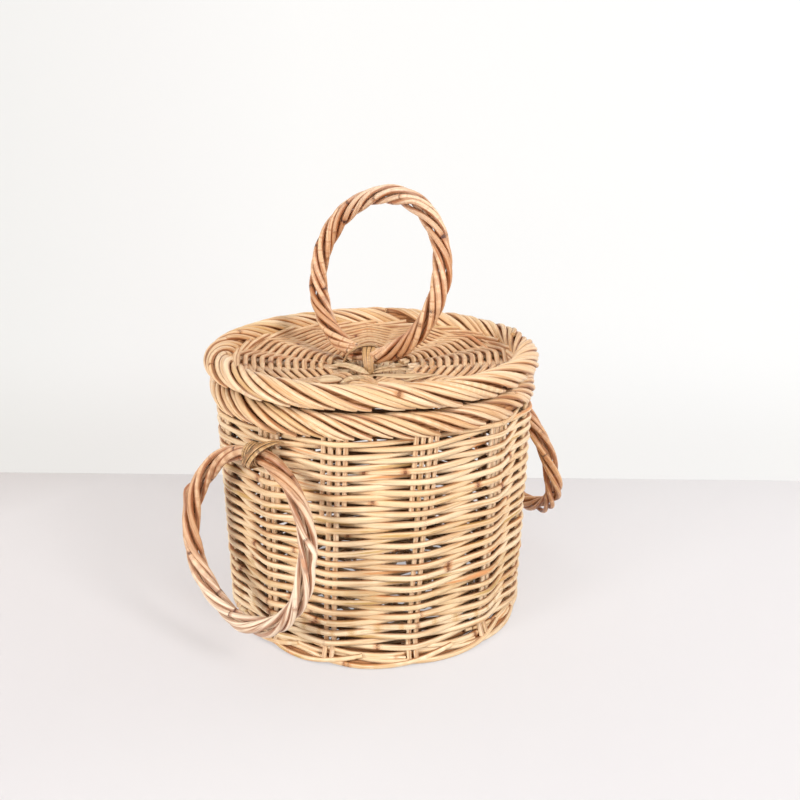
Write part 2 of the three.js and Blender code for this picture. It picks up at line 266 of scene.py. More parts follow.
def cane_finish(name, pale, body, deep, stain, knot, rust=None, knots=0.35, stained=0.5,
                roughness=0.42, coat=0.25, shaded=0.75, inner_shade=0.0, side_shade_colour=SIDE_SHADE_BROWN,
                paler_along=None):
    """Cane with streaks, fibres, stains and knots. Its sides, where canes press together, are
    painted browner: painted shade between the canes.

    knots is the share of the places for a knot that have one, stained is how far stains spread.
    shaded is how much painted shade the sides get, and the inner share is how much painted shade
    the face that looks into the basket gets. The canes grow paler along a given direction, from
    where they start to grow pale to where they are palest.
    """
    finish, tree = new_finish(name)

    def read(attribute, output):
        settings = {"attribute_name": attribute}
        return put(tree, "ShaderNodeAttribute", settings, output=output)

    along, strand = read("along", 2), read("strand", 2)
    face = put(tree, "ShaderNodeSeparateXYZ", None, {0: read("around", 1)}, 0)
    sideways = Value(tree, face.socket.node.outputs[1])

    # Every strand has its own place in each pattern. The odd factors and sums keep them apart.
    own = strand * 91.7

    streak = noise(tree, vector(tree, along * STREAKS_ALONG + own, face * STREAKS_ROUND,
                                sideways * STREAKS_ROUND + strand * 7), detail=3.0)
    fibre = noise(tree, vector(tree, along * FIBRES_ALONG + own, face * FIBRES_ROUND,
                               sideways * FIBRES_ROUND), detail=4.0, roughness=0.65)
    blotch = noise(tree, vector(tree, along * BLOTCHES_ALONG + own + 4, face * BLOTCHES_ROUND,
                                sideways * BLOTCHES_ROUND), detail=4.0, roughness=0.6)

    colour = mixed(tree, drawn(tree, own), pale, body)
    colour = mixed(tree, smooth_step(tree, drawn(tree, own + 8.3), *STRAY_CANES), colour, stain)
    # The canes grow paler along a given direction: towards the top of the lid's ring and the
    # bottom of the left ring.
    if paler_along:
        direction, start, end = paler_along
        share = smooth_step(tree, how_far(tree, object_place(tree), direction), start, end)
        colour = mixed(tree, share * PALEST_SHARE, colour, PALEST_CANE)
    colour = mixed(tree, smooth_step(tree, streak, *DEEP_STREAKS), colour, deep)
    colour = mixed(tree, smooth_step(tree, fibre, *DEEP_FIBRES), colour, deep)
    colour = mixed(tree, smooth_step(tree, fibre, *PALE_FIBRES), colour, pale)
    sets_in, full = 0.66 - 0.1 * stained, 0.7 - 0.04 * stained
    stains = smooth_step(tree, blotch, sets_in, full, 0, STAIN_SHARE)
    if rust:
        stain = mixed(tree, smooth_step(tree, drawn(tree, own + 3.7), *RUSTY_CANES), stain, rust)
    colour = mixed(tree, stains, colour, stain)
    # Painted shade: the sides, where canes press together, grow browner.
    turned_away = sideways.maths("ABSOLUTE") + (streak - 0.5) * 0.3
    side = smooth_step(tree, turned_away, *SHADED_SIDES, 0, shaded)
    colour = mixed(tree, side, colour, side_shade_colour)
    # Painted shade: the face that looks into the basket grows browner.
    if inner_shade:
        colour = mixed(tree, smooth_step(tree, face, *SHADED_INSIDE, 0, inner_shade), colour, INNER_SHADE_BROWN)

    # One draw for each place says both whether it has a knot and how far along the place it lies.
    place = along / KNOT_SPACING + strand * 31.3
    cell = place.maths("FLOOR")
    draw = drawn(tree, cell + own)
    present = smooth_step(tree, draw, knots, knots - 0.02)
    knot_at = draw * 0.9 / knots + 0.05
    reach = ((place - cell) - knot_at).maths("ABSOLUTE") * KNOT_SPACING
    edge = (blotch - 0.5) * 0.0022 + (fibre - 0.5) * 0.001
    broken = noise(tree, vector(tree, face * 0.9, sideways * 0.9, own + cell))
    patch = smooth_step(tree, broken, *KNOT_PATCHES)
    ring = smooth_step(tree, reach + edge, *KNOT_RING) * present * patch
    halo = smooth_step(tree, reach + edge * 3, *KNOT_HALO) * present
    colour = mixed(tree, halo * HALO_SHARE, colour, mixed(tree, 0.4, rust or stain, knot))
    colour = mixed(tree, ring * RING_SHARE, colour, knot)

    height = ((fibre - 0.5) * FIBRE_RISE + (streak - 0.5) * STREAK_RISE + ring * RING_RISE
              + halo * HALO_RISE)
    bump = {"Strength": 0.55, "Distance": 0.0005, "Height": height}
    normal = put(tree, "ShaderNodeBump", None, bump)
    dullness = roughness + (fibre - 0.5) * FIBRE_DULL + stains * STAIN_DULL + ring * RING_DULL
    shader = put(tree, "ShaderNodeBsdfPrincipled", None, {
        "Base Color": colour, "Roughness": dullness, "Normal": normal,
        "Coat Weight": coat, "Coat Roughness": 0.35, "Specular IOR Level": 0.4,
    })
    put(tree, "ShaderNodeOutputMaterial", None, {0: shader})
    return finish


# The weaving canes get painted shade on the faces that look into the basket.
weave_finish = cane_finish(
    "weaving cane", pale=rgb(246, 224, 188), body=rgb(232, 198, 152), deep=rgb(208, 160, 108),
    stain=rgb(190, 148, 74), knot=rgb(132, 78, 44), rust=rgb(214, 138, 76),
    knots=0.16, stained=0.85, inner_shade=0.7)
lid_weave_finish = cane_finish(
    "lid weaving cane", pale=rgb(232, 198, 154), body=rgb(216, 170, 122), deep=rgb(182, 126, 82),
    stain=rgb(180, 132, 76), knot=rgb(124, 72, 42), rust=rgb(204, 132, 78),
    knots=0.12, stained=0.8, inner_shade=0.5)
stake_finish = cane_finish(
    "stake cane", pale=rgb(248, 224, 190), body=rgb(238, 206, 164), deep=rgb(212, 166, 116),
    stain=rgb(188, 148, 84), knot=rgb(120, 76, 44), knots=0.08, stained=0.3, shaded=0.45)
border_finish = cane_finish(
    "border cane", pale=rgb(242, 214, 176), body=rgb(228, 186, 138), deep=rgb(204, 148, 94),
    stain=rgb(200, 160, 92), knot=rgb(140, 84, 44), rust=rgb(220, 144, 80),
    knots=0.12, stained=0.45)
split_finish = cane_finish(
    "split cane", pale=rgb(226, 200, 162), body=rgb(206, 172, 128), deep=rgb(176, 134, 92),
    stain=rgb(168, 140, 96), knot=rgb(146, 104, 66), rust=rgb(196, 146, 100),
    knots=0.04, stained=0.4, roughness=0.6, coat=0.05)
shade_finish = cane_finish(
    "cane in the shade", pale=rgb(196, 142, 94), body=rgb(172, 116, 72), deep=rgb(136, 84, 48),
    stain=rgb(120, 76, 40), knot=rgb(90, 52, 28), knots=0.05, roughness=0.7, coat=0)
lid_rope_finish = cane_finish(
    "honey handle cane", pale=rgb(242, 206, 168), body=rgb(222, 172, 120), deep=rgb(182, 110, 62),
    stain=rgb(168, 98, 54), knot=rgb(76, 38, 26), rust=rgb(206, 132, 78),
    knots=0.42, stained=0.6, paler_along=((0, 0, 1), 0.24, 0.305))
side_rope_finish = cane_finish(
    "tan handle cane", pale=rgb(234, 196, 156), body=rgb(208, 158, 116), deep=rgb(160, 104, 68),
    stain=rgb(150, 92, 60), knot=rgb(98, 54, 34), rust=rgb(190, 124, 80),
    knots=0.24, stained=0.7, paler_along=((0, -0.6, -0.8), -0.09, -0.035))
binding_finish = cane_finish(
    "binding cane", pale=rgb(212, 174, 122), body=rgb(180, 132, 82), deep=rgb(122, 78, 42),
    stain=rgb(108, 76, 40), knot=rgb(74, 46, 26), rust=rgb(150, 96, 56),
    knots=0.1, stained=0.8, shaded=0.95, side_shade_colour=DARK_SHADED_EDGE)


# Strands of cane: paths worked out here, swept by one node tree.
class Strands:
    """Paths with what the sweep needs at each point."""

    def __init__(self):
        self.points = []
        self.edges = []
        self.swell = []
        self.strand = []
        self.facing = []

    def add(self, path, facing, swell=1.0, closed=False):
        """One path in mm. facing is the side that a flat cane shows, once or for each point."""
        path = np.asarray(path, dtype=float)
        count = len(path)
        first = len(self.points)
        self.points.extend(path * MM)
        self.edges.extend((first + step, first + step + 1) for step in range(count - 1))
        if closed:
            self.edges.append((first + count - 1, first))
        self.facing.extend(np.broadcast_to(np.asarray(facing, dtype=float), (count, 3)))
        self.swell.extend(np.broadcast_to(np.asarray(swell, dtype=float), (count,)))
        self.strand.extend([chance.random()] * count)


LUMPS_IN_A_METRE = 42


def sweep_tree():
    """Sweeps a cane along each path: its width lies across the facing direction."""
    tree = bpy.data.node_groups.new("Sweep canes", "GeometryNodeTree")
    sockets = (("Paths", "Geometry"), ("Width", "Float"), ("Depth", "Float"), ("Sides", "Int"),
               ("Steps", "Int"), ("Unevenness", "Float"), ("Finish", "Material"))
    for name, kind in sockets:
        tree.interface.new_socket(name, in_out="INPUT", socket_type=f"NodeSocket{kind}")
    tree.interface.new_socket("Canes", in_out="OUTPUT", socket_type="NodeSocketGeometry")
    given = tree.nodes.new("NodeGroupInput")
    paths, width, depth, sides, steps, unevenness, finish = (
        Value(tree, given.outputs[name]) for name, _ in sockets)

    def read(name, kind="FLOAT"):
        settings = {"data_type": kind}
        return put(tree, "GeometryNodeInputNamedAttribute", settings, {"Name": name}, 0)

    def keep(geometry, name, kind, item):
        settings = {"data_type": kind, "domain": "POINT"}
        return put(tree, "GeometryNodeStoreNamedAttribute", settings,
                   {"Geometry": geometry, "Name": name, "Value": item})

    curve = put(tree, "GeometryNodeMeshToCurve", None, {0: paths})
    curve = put(tree, "GeometryNodeCurveSplineType", {"spline_type": "CATMULL_ROM"}, {0: curve})
    curve = put(tree, "GeometryNodeSetSplineResolution", None, {0: curve, 2: steps})
    facing = read("facing", "FLOAT_VECTOR")
    curve = put(tree, "GeometryNodeSetCurveNormal", {"mode": "FREE"}, {0: curve, 2: facing})
    length = put(tree, "GeometryNodeSplineParameter", None, None, 1)
    curve = keep(curve, "along", "FLOAT", length)
    swell = read("swell")
    lumps = noise(tree, vector(tree, length * LUMPS_IN_A_METRE, read("strand") * 77), detail=1.0)
    swell = swell * (1 + (lumps - 0.5) * unevenness)
    round_section = put(tree, "GeometryNodeCurvePrimitiveCircle", {"mode": "RADIUS"},
                        {"Resolution": sides, "Radius": 1.0})
    place = put(tree, "GeometryNodeInputPosition")
    round_section = keep(round_section, "around", "FLOAT_VECTOR", place)
    scale = vector(tree, depth / 2, width / 2, 1.0)
    section = put(tree, "GeometryNodeTransform", None, {"Geometry": round_section, "Scale": scale})
    canes = put(tree, "GeometryNodeCurveToMesh", None,
                {"Curve": curve, "Profile Curve": section, "Scale": swell, "Fill Caps": True})
    canes = put(tree, "GeometryNodeSetShadeSmooth", None, {0: canes})
    canes = put(tree, "GeometryNodeRealizeInstances", None, {0: canes})
    canes = put(tree, "GeometryNodeSetMaterial", None, {0: canes, 2: finish})
    result = tree.nodes.new("NodeGroupOutput")
    tree.links.new(canes.socket, result.inputs[0])
    return tree


cane_sweep = sweep_tree()


def sweep(name, strands, width, finish, body, replaced=(), depth=None, sides=8, steps=3,
          unevenness=0.1):
    """Makes one piece of all its strands, riding on a body and standing for its CAD nodes."""
    mesh = bpy.data.meshes.new(f"{name} paths")
    mesh.from_pydata(strands.points, strands.edges, [])
    for key, kind in (("swell", "FLOAT"), ("strand", "FLOAT"), ("facing", "FLOAT_VECTOR")):
        attribute = mesh.attributes.new(key, kind, "POINT")
        field = "vector" if kind == "FLOAT_VECTOR" else "value"
        numbers = np.asarray(getattr(strands, key), dtype=np.float32)
        attribute.data.foreach_set(field, numbers.ravel())
    paths = new_object(f"{name} paths", mesh)
    modifier = paths.modifiers.new("Sweep", "NODES")
    modifier.node_group = cane_sweep
    given = {"Width": width * MM, "Depth": (depth or width) * MM, "Sides": sides, "Steps": steps,
             "Unevenness": unevenness, "Finish": finish}
    for socket in cane_sweep.interface.items_tree:
        if socket.in_out == "INPUT" and socket.name in given:
            modifier[socket.identifier] = given[socket.name]
    bpy.context.view_layer.update()
    seen = bpy.context.evaluated_depsgraph_get()
    swept = bpy.data.meshes.new_from_object(paths.evaluated_get(seen), depsgraph=seen)
    bpy.data.objects.remove(paths)
    swept.name = name
    piece = new_object(name, swept)
    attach(piece, body)
    if replaced:
        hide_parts(*replaced)
    return piece


# Places round the basket.
def at_place(values, place):
    """The value at a place counted in groups, of values given for each group."""
    before = math.floor(place)
    share = place - before
    return (1 - share) * values[before % GROUPS] + share * values[(before + 1) % GROUPS]


def even_angle(place):
    """Angle of a place counted in groups, where they stand evenly, as in the lid."""
    return math.pi + place * STEP


def group_angle(place):
    """Angle of a group, or of a place between two. Hand-set groups don't stand quite evenly."""
    return even_angle(place) + math.radians(at_place(GROUP_NUDGES, place))


def wall_twist(height):
    """The groups lean a little round the basket."""
    return WALL_TWIST * (1 - height / WALL_HEIGHT)


def polar(angle, radius, height):
    return np.array([math.cos(angle) * radius, math.sin(angle) * radius, height])


def wall_radius(height):
    widening = WALL_RADIUS_AT_BORDER - WALL_RADIUS_AT_FLOOR
    return WALL_RADIUS_AT_FLOOR + widening * height / WALL_HEIGHT


def outwards(path):
    """Horizontal directions away from the axis, one for each point."""
    path = np.asarray(path)
    away = path * (1, 1, 0)
    return away / np.maximum(np.linalg.norm(away, axis=1, keepdims=True), 1e-6)


def jitter(amount):
    return chance.uniform(-amount, amount)


def wall_bend(radius, place, flat=0.3):
    """Radius of the wall at a place in groups: it bends there and is flatter between them."""
    past = abs(place - round(place)) * STEP
    return radius * (1 - flat + flat * math.cos(STEP / 2) / math.cos(STEP / 2 - past))


def row_wave(angle, height):
    """Rows of hand weaving rise and dip together, in waves that shift round with the height."""
    return sum(rise * math.sin(count * angle + height / shift + start)
               for rise, count, shift, start in ((0.7, 3, 11, 0), (0.45, 7, -8, 2)))


def broken_runs(last, shortest, longest):
    """Cuts one long spiral into lengths, in groups passed."""
    group = 0
    while group < last:
        end = min(group + chance.randint(shortest, longest), last)
        yield group, end
        group = end


def this_side(index):
    """The weave changes side at every group that it passes."""
    return 1 if index % 2 == 0 else -1


def weave_swell(count, thin=0.7):
    """A cane is thicker at one end than at the other, and drawn thin at both tips."""
    swell = np.full(count, 1 + jitter(0.09)) * np.linspace(1.03, 0.97, count)
    swell[0] *= thin
    swell[-1] *= thin
    return swell


def side_weave():
    """Round cane woven in and out of the groups in one long spiral, made of many lengths."""
    strands = Strands()
    beside, beside_share = 0.2, 0.72
    last = int((LAST_ROW - FIRST_ROW) / ROW_PITCH * GROUPS)
    for start, end in broken_runs(last, *SIDE_LENGTHS):
        path = []
        for index in range(start, end + 1):
            height = FIRST_ROW + ROW_PITCH * index / GROUPS + jitter(0.3)
            offset = (SIDE_OFFSET + jitter(0.3)) * this_side(index)
            for place, share in ((-beside, beside_share), (0, 1), (beside, beside_share),
                                 (0.5, jitter(0.08))):
                if place == 0.5 and index == end:
                    continue
                angle = group_angle(index + place) + wall_twist(height)
                level = height + ROW_PITCH * place / GROUPS + row_wave(angle, height)
                middle = wall_bend(wall_radius(level) + STAKE_SHIFT, index + place)
                path.append(polar(angle, middle + offset * share, level))
        strands.add(path, outwards(path), weave_swell(len(path)))
    return strands


# A stake lies straight over the base, turns up by these ways out and up, and passes these heights.
UPTURN = ((0, 0), (4.6, 1.6), (7, 6.5))
STAKE_LEVELS = (35, 60, 85, 110, WALL_HEIGHT + 6)
BYE_STAKE_START = (94, 110)

# How far a group's pair, and the canes beside it, stand off its middle, apart from their width.
PAIR_GAP, BYE_GAP = 0.45, 1.5

# The groups' lean round the basket starts at this radius of the base and is full further out.
LEAN_FROM, LEAN_OVER = 40, 45
LOWEST_LEAN = 8


def add_upright(strands, group, across, stops, thickness):
    """Adds a cane of one group, across from its middle. stops are radius and height."""
    out = polar(group_angle(group), 1, 0)
    side = polar(group_angle(group) + math.pi / 2, 1, 0)
    path = []
    for radius, height in stops:
        leaning = min(1, max(0, (radius - LEAN_FROM) / LEAN_OVER))
        shift = across + wall_twist(max(height, LOWEST_LEAN)) * radius * leaning
        path.append(out * radius + side * shift + (0, 0, height))
    strands.add(path, side, thickness)


def stakes():
    """The uprights: pairs of canes that run out over the base, turn up at the foot and stand to
    the border, a peg at the foot of each, and two more canes in the top quarter."""
    strands = Strands()
    foot = wall_radius(0) + STAKE_SHIFT - UPTURN[-1][0]
    for group in range(GROUPS):
        peg_foot = FOOT_RADIUS - 0.7 * FOOT_INSETS[group]
        for hand in (-1, 1):
            across = hand * (STAKE_CANE / 2 + PAIR_GAP + abs(jitter(0.4)))
            stops = [(BASE_HUB_RADIUS - 2, SPOKE_HEIGHT), (foot * 0.6, SPOKE_HEIGHT)]
            stops += [(foot + out, SPOKE_HEIGHT + rise) for out, rise in UPTURN]
            for height in STAKE_LEVELS:
                stops.append((wall_radius(height) + STAKE_OUT + jitter(0.2), height))
            add_upright(strands, group, across, stops, 1 + jitter(0.06))
            peg = [(peg_foot - 4, 15 + jitter(1)), (peg_foot - 1.8, 10), (peg_foot - 0.4, 7),
                   (peg_foot, 4.6 + jitter(0.5))]
            add_upright(strands, group, across, peg, 0.94)
        for hand in (-1, 1):
            start = chance.uniform(*BYE_STAKE_START)
            across = hand * (STAKE_CANE * 1.5 + BYE_GAP + jitter(0.4))
            stops = [(wall_radius(height) + STAKE_OUT, height)
                     for height in np.linspace(start, STAKE_LEVELS[-1], 5)]
            add_upright(strands, group, across, stops, 0.94 + jitter(0.06))
    return strands


# Canes of the bottom edge: place in groups, way out from the foot's radius, and height.
LOW_CANE = ((-0.25, -5.5, 10.4), (0.15, -3.8, 8.2), (0.55, -1.2, 5.2), (0.95, 0.4, 3.2),
            (1.3, 1.8, 2.1), (1.65, 2.0, 2.1), (1.95, 1.4, 3.4), (2.2, 0.8, 6.0), (2.4, 0.4, 8.6))
HIGH_CANE = ((-0.1, -3.4, 11.0), (0.3, -1.8, 8.8), (0.7, -2.0, 7.2), (1.0, -3.8, 6.6),
             (1.3, -2.4, 6.8), (1.6, -1.4, 6.2), (1.9, -1.4, 4.8))

# Rings that close the base inside the wall: radius and height.
RIM_RINGS = ((100.4, 2.4), (98.8, 5.8), (95.8, 3.0), (93.6, 7.4), (90.8, 4.6), (87.2, 4.4))


def drawn_in(place):
    """How far the bottom edge stands in, at a place counted in groups: it isn't quite round."""
    return at_place(FOOT_INSETS, place)


def foot_canes():
    """Low canes dip to the floor from group to group, high ones run behind them."""
    strands = Strands()
    for group in range(GROUPS):
        for stops, thickness in ((LOW_CANE, 0.95), (HIGH_CANE, 0.92)):
            slide = jitter(0.12)
            path = []
            for place, out, height in stops:
                inwards = drawn_in(group + place)
                behind = out < -2
                radius = FOOT_RADIUS - inwards * (0.4 if behind else 1) + out + jitter(0.2)
                height += inwards * 0.15
                angle = group_angle(group + place + slide) + wall_twist(0)
                path.append(polar(angle, radius, height + jitter(0.2)))
            swell = np.full(len(path), thickness + jitter(0.06))
            swell[0] *= 0.75
            swell[-1] *= 0.85
            strands.add(path, outwards(path), swell)
    return strands


def base_rim():
    """Canes that close the base at its edge, inside the wall."""
    strands = Strands()
    stops = 3
    for radius, height in RIM_RINGS:
        path = []
        for step in range(stops * GROUPS):
            place = step / stops
            inwards = 0.6 * drawn_in(place)
            path.append(polar(group_angle(place), radius - inwards + jitter(0.2),
                              height + jitter(0.3)))
        strands.add(path, outwards(path), closed=True)
    return strands


# A border's canes lie in bundles and run on by some groups from inside to outside. In degrees
# round its section, loose ones go further by LOOSE_TURN, and those on top start at ON_TOP_TURN.
CANES_IN_A_BUNDLE = 5
BORDER_RUN = 1.6
BORDER_STEPS = 16
BORDER_TIP = (0.97, 0.86, 0.62)
LOOSE_TURN = 15
ON_TOP_TURN = 112
ON_TOP_LIFT = 1.6


def rolled_border(middle, half_width, half_height, start, end, spread, loose, on_top):
    """Canes rolled over a ring in bundles: up the inside, over the top, down the outside, drawn
    together.

    start and end are degrees round the ring's section. The canes of a loose bundle end further
    round. The canes in on_top start on top of the others.
    """
    strands = Strands()
    for index in range(GROUPS * CANES_IN_A_BUNDLE):
        bundle, place = divmod(index, CANES_IN_A_BUNDLE)
        share = (place + 0.5) / CANES_IN_A_BUNDLE
        lift = 1.0 * share - 0.5 + jitter(0.55)
        finish = end + jitter(9) + (LOOSE_TURN if bundle in loose else 0)
        begin = start
        if index in on_top:
            begin = ON_TOP_TURN + jitter(14)
            lift += ON_TOP_LIFT
        slide = jitter(0.06)
        path = []
        for step in range(BORDER_STEPS):
            done = step / (BORDER_STEPS - 1)
            turn = math.radians(begin + (finish - begin) * done)
            rolled = (math.degrees(turn) - start) / (end - start)
            place_now = bundle + share * (1 - spread * rolled) + slide + BORDER_RUN * rolled
            away = BORDER_RADIUS + (half_width + lift) * math.cos(turn)
            height = middle + (half_height + lift * 0.6) * math.sin(turn)
            path.append(polar(even_angle(place_now), away + jitter(0.08), height))
        swell = np.full(BORDER_STEPS, 1 + jitter(0.12))
        swell[-len(BORDER_TIP):] *= BORDER_TIP
        heart = [polar(math.atan2(y, x), BORDER_RADIUS, middle) for x, y, _ in path]
        strands.add(path, np.array(path) - heart, swell)
    return strands


def ring_core(middle, half_width, half_height):
    """Canes that run round inside a border, turning about each other."""
    strands = Strands()
    canes, turns, stops = 6, 3, 4 * GROUPS
    for index in range(canes):
        path = []
        for step in range(stops):
            turn = 2 * math.pi * (index / canes + turns * step / stops)
            away = BORDER_RADIUS + half_width * math.cos(turn)
            height = middle + half_height * math.sin(turn)
            path.append(polar(2 * math.pi * step / stops, away, height))
        strands.add(path, outwards(path), 1 + jitter(0.08), closed=True)
    return strands


# Radius and height at which the ends of the lid's spokes lie, up the inside of its border.
RIM_RISE = ((89.6, 167.0), (91.0, 168.4), (91.9, 170.0), (92.6, 172.0), (94.2, 174.0))


def rim_canes():
    """Ends of the lid's spokes, laid sideways up the inside of its border."""
    strands = Strands()
    for index in range(2 * GROUPS):
        path = []
        for stop, (radius, height) in enumerate(RIM_RISE):
            angle = math.pi + STEP * (index / 2 - 0.42 * stop) + jitter(0.02)
            path.append(polar(angle, radius, height + jitter(0.4)))
        strands.add(path, UP, 1 + jitter(0.08))
    return strands


def disc_weave(first, last, pitch, offset, profile, beside):
    """Cane woven over and under the spokes in a flat spiral.

    profile gives radius, height and lean by distance. beside is how far from the middle of a pair
    the cane still lies on it.
    """
    strands = Strands()
    turns = (last - first) / pitch
    beside_share = 0.82
    for start, end in broken_runs(int(turns * GROUPS), *DISC_LENGTHS):
        path = []
        for index in range(start, end + 1):
            angle = even_angle(index)
            radius, height, lean = profile(first + pitch * index / GROUPS + jitter(0.2))
            side = this_side(index) * (offset + jitter(0.2))
            for place, share in ((-beside, beside_share), (0, 1), (beside, beside_share)):
                rise = side * share
                path.append(polar(angle + math.atan2(place, radius),
                                  radius - rise * math.sin(lean), height + rise * math.cos(lean)))
            between, level, _ = profile(first + pitch * (index + 0.5) / GROUPS)
            path.append(polar(angle + STEP / 2, between * (1 + math.cos(STEP / 2)) / 2,
                              level + jitter(0.2)))
        path = np.array(path[:-1])
        strands.add(path, UP, weave_swell(len(path)))
    return strands


def base_profile(distance):
    """The base is flat."""
    return distance, SPOKE_HEIGHT, 0.0


def lid_profile(distance):
    """The lid's disc is a shallow dish that turns up at its edge, to meet the border."""
    bend, steepest = 5.0, 1.05
    inside = min(distance, LID_DISC_RADIUS)
    past = max(distance - LID_DISC_RADIUS, 0)
    height = LID_SPOKE_HEIGHT + LID_DISH * (inside / LID_DISC_RADIUS) ** 2
    if past <= 0:
        return distance, height, 0.0
    lean = min(past / bend, 1.0) * steepest
    reach = bend / steepest
    straight = max(past - bend, 0)
    radius = LID_DISC_RADIUS + reach * math.sin(lean) + straight * math.cos(lean)
    return radius, height + reach * (1 - math.cos(lean)) + straight * math.sin(lean), lean


def lid_spokes():
    """Pairs of canes that run out from the lid's hub to its border."""
    strands = Strands()
    distances = (LID_HUB_RADIUS - 3, 50, 70, LID_DISC_RADIUS, LID_DISC_RADIUS + 4)
    for group in range(GROUPS):
        out = polar(even_angle(group), 1, 0)
        side = polar(even_angle(group) + math.pi / 2, 1, 0)
        for hand in (-1, 1):
            across = hand * (1.65 + abs(jitter(0.2)))
            path = []
            for distance in distances:
                radius, height, _ = lid_profile(distance)
                path.append(out * radius + side * across + (0, 0, height))
            strands.add(path, side, 1 + jitter(0.05))
    return strands


def crossed_sticks(height, layer_gap, radius, spread, pitch):
    """Sticks laid across each other in two layers, whose ends fan out to every group."""
    strands = Strands()
    cross_reach, knee, knee_share = 11, 0.62, 0.8
    ends = 2 * GROUPS
    angles = [group_angle(index // 2) + (spread / radius) * (1 if index % 2 else -1)
              for index in range(ends)]
    layers = ((0, GROUPS // 2 + 1, layer_gap), (GROUPS // 2 + 1, GROUPS // 2, 0))
    for first, count, rise in layers:
        middle = group_angle(0) + (first + (count - 1) / 2 - 0.5) * STEP / 2
        ahead = polar(middle, 1, 0)
        aside = polar(middle + math.pi / 2, 1, 0)
        for stick in range(count):
            across = aside * ((stick - (count - 1) / 2) * pitch)
            far_end = (first + GROUPS + count - 1 - stick) % ends
            path = []
            for angle, hand in ((angles[first + stick], 1), (angles[far_end], -1)):
                near = ahead * (hand * cross_reach) + across
                bend = polar(angle, radius * knee, height) * (1, 1, 0) * knee_share + near * 0.2
                leg = [polar(angle, radius, height), bend + (0, 0, height + rise * 0.4),
                       near + (0, 0, height + rise)]
                path += leg[::hand]
            strands.add(path, UP, 1 + jitter(0.05))
    return strands


# A ring's long canes: steps in one loop, lengths of cane, how much and how far round the binding
# draws them in, and how sharply a kink sticks out.
LOOP_STEPS = 40
RING_LENGTHS = 3
PINCH, PINCH_REACH = 0.3, 0.4
KINK_SHARPNESS = 1.57

# How much and how fast the winding wanders round the rope, and in and out of it.
TURN_WANDER, TURN_PACE = 0.3, 1.7
OUT_WANDER, OUT_PACE = 0.16, 2.3


def wound_rope(place_at, passes, turns, reach, wander, kinks):
    """Long canes wound round and round in one ring, each pass laid beside the last.

    wander is how uneven the winding is. kinks are steps at which a cane sticks out, and how far.
    """
    strands = Strands()
    cuts = [round(passes * LOOP_STEPS * share) for share in np.linspace(0, 1, RING_LENGTHS + 1)]
    waves = [chance.uniform(0, 2 * math.pi) for _ in range(3)]
    for first, last in zip(cuts, cuts[1:]):
        path = []
        facing = []
        for step in range(first, last + 1):
            angle = 2 * math.pi * step / LOOP_STEPS
            centre, away, aside = place_at(angle)
            turn = (turns + 1 / passes) * angle
            turn += wander * TURN_WANDER * math.sin(TURN_PACE * angle + waves[0])
            out = reach * (1 + wander * OUT_WANDER * math.sin(OUT_PACE * angle + waves[1]))
            from_pivot = math.remainder(angle, 2 * math.pi)
            out *= 1 - PINCH * math.exp(-(from_pivot / PINCH_REACH) ** 2)
            push = sum(size * math.exp(-KINK_SHARPNESS * abs(step - kink_step))
                       for kink_step, size in kinks)
            radial = away * math.cos(turn) + aside * math.sin(turn)
            path.append(centre + radial * out + away * push)
            facing.append(radial)
        strands.add(path, facing, weave_swell(len(path), 0.75))
    core_steps = 24
    core = [place_at(2 * math.pi * step / core_steps)[0] for step in range(core_steps)]
    strands.add(core, outwards(core) + (0, 0, 0.01), 0.75, closed=True)
    return strands


def ring_places(pivot, out, tilt, above, waves):
    """Points of a ring that stands on its pivot or hangs from it, leaning out by tilt degrees.

    waves are the cosine and sine shares, in mm, of how far the hand-laid ring is from round.
    """
    lean = math.radians(tilt)
    side = np.array([-out[1], out[0], 0])
    along = (UP if above else -UP) * math.cos(lean) + out * math.sin(lean)
    face = np.cross(side, along)
    centre = pivot + along * HANDLE_RADIUS

    def at(angle):
        away = -along * math.cos(angle) + side * math.sin(angle)
        wobble = sum(cosine * (math.cos(count * angle) - 1) + sine * math.sin(count * angle)
                     for count, (cosine, sine) in enumerate(waves, 1))
        return centre + away * (HANDLE_RADIUS + wobble), away, face
    return at


def strips(path, facing, across, spread, count):
    """Split canes side by side along one path. spread is their distance at each point."""
    strands = Strands()
    path = np.asarray(path, dtype=float)
    spread = np.broadcast_to(np.asarray(spread, dtype=float), (len(path),))
    for index in range(count):
        beside = index - (count - 1) / 2
        shift = (beside * spread)[:, None] * np.asarray(across, dtype=float)
        lift = np.asarray(facing, dtype=float) * (0.18 * (index % 2))
        strands.add(path + shift + lift, facing, 1 + jitter(0.05))
    return strands


def tie_band(pivot, side, out, stops):
    """Two split canes over a rope, into the wall. stops are ways along the rope, up and out."""
    path = [pivot + side * along + UP * rise + out * away for along, rise, away in stops]
    facing = []
    for along, rise, away in stops:
        radial = UP * rise + out * (away + 2.5)
        facing.append(radial / np.linalg.norm(radial))
    ahead = np.gradient(np.array(path), axis=0)
    across = np.cross(ahead, facing)
    across /= np.linalg.norm(across, axis=1, keepdims=True)
    return strips(path, facing, across, TIE_CANE * 1.05, 2)


def tie_coil(pivot, side, out):
    """A split cane wound round a rope beside its tie."""
    strands = Strands()
    reach, first, last, turns, steps_in_turn = 6.5, -5.0, 7.0, 6, 10
    steps = turns * steps_in_turn
    path = []
    facing = []
    for step in range(steps + 1):
        turn = 2 * math.pi * step / steps_in_turn - math.pi / 2
        radial = out * math.cos(turn) + UP * math.sin(turn)
        along = first + (last - first) * step / steps
        path.append(pivot + radial * (reach + jitter(0.1)) + side * along)
        facing.append(radial)
    strands.add(path, facing)
    return strands


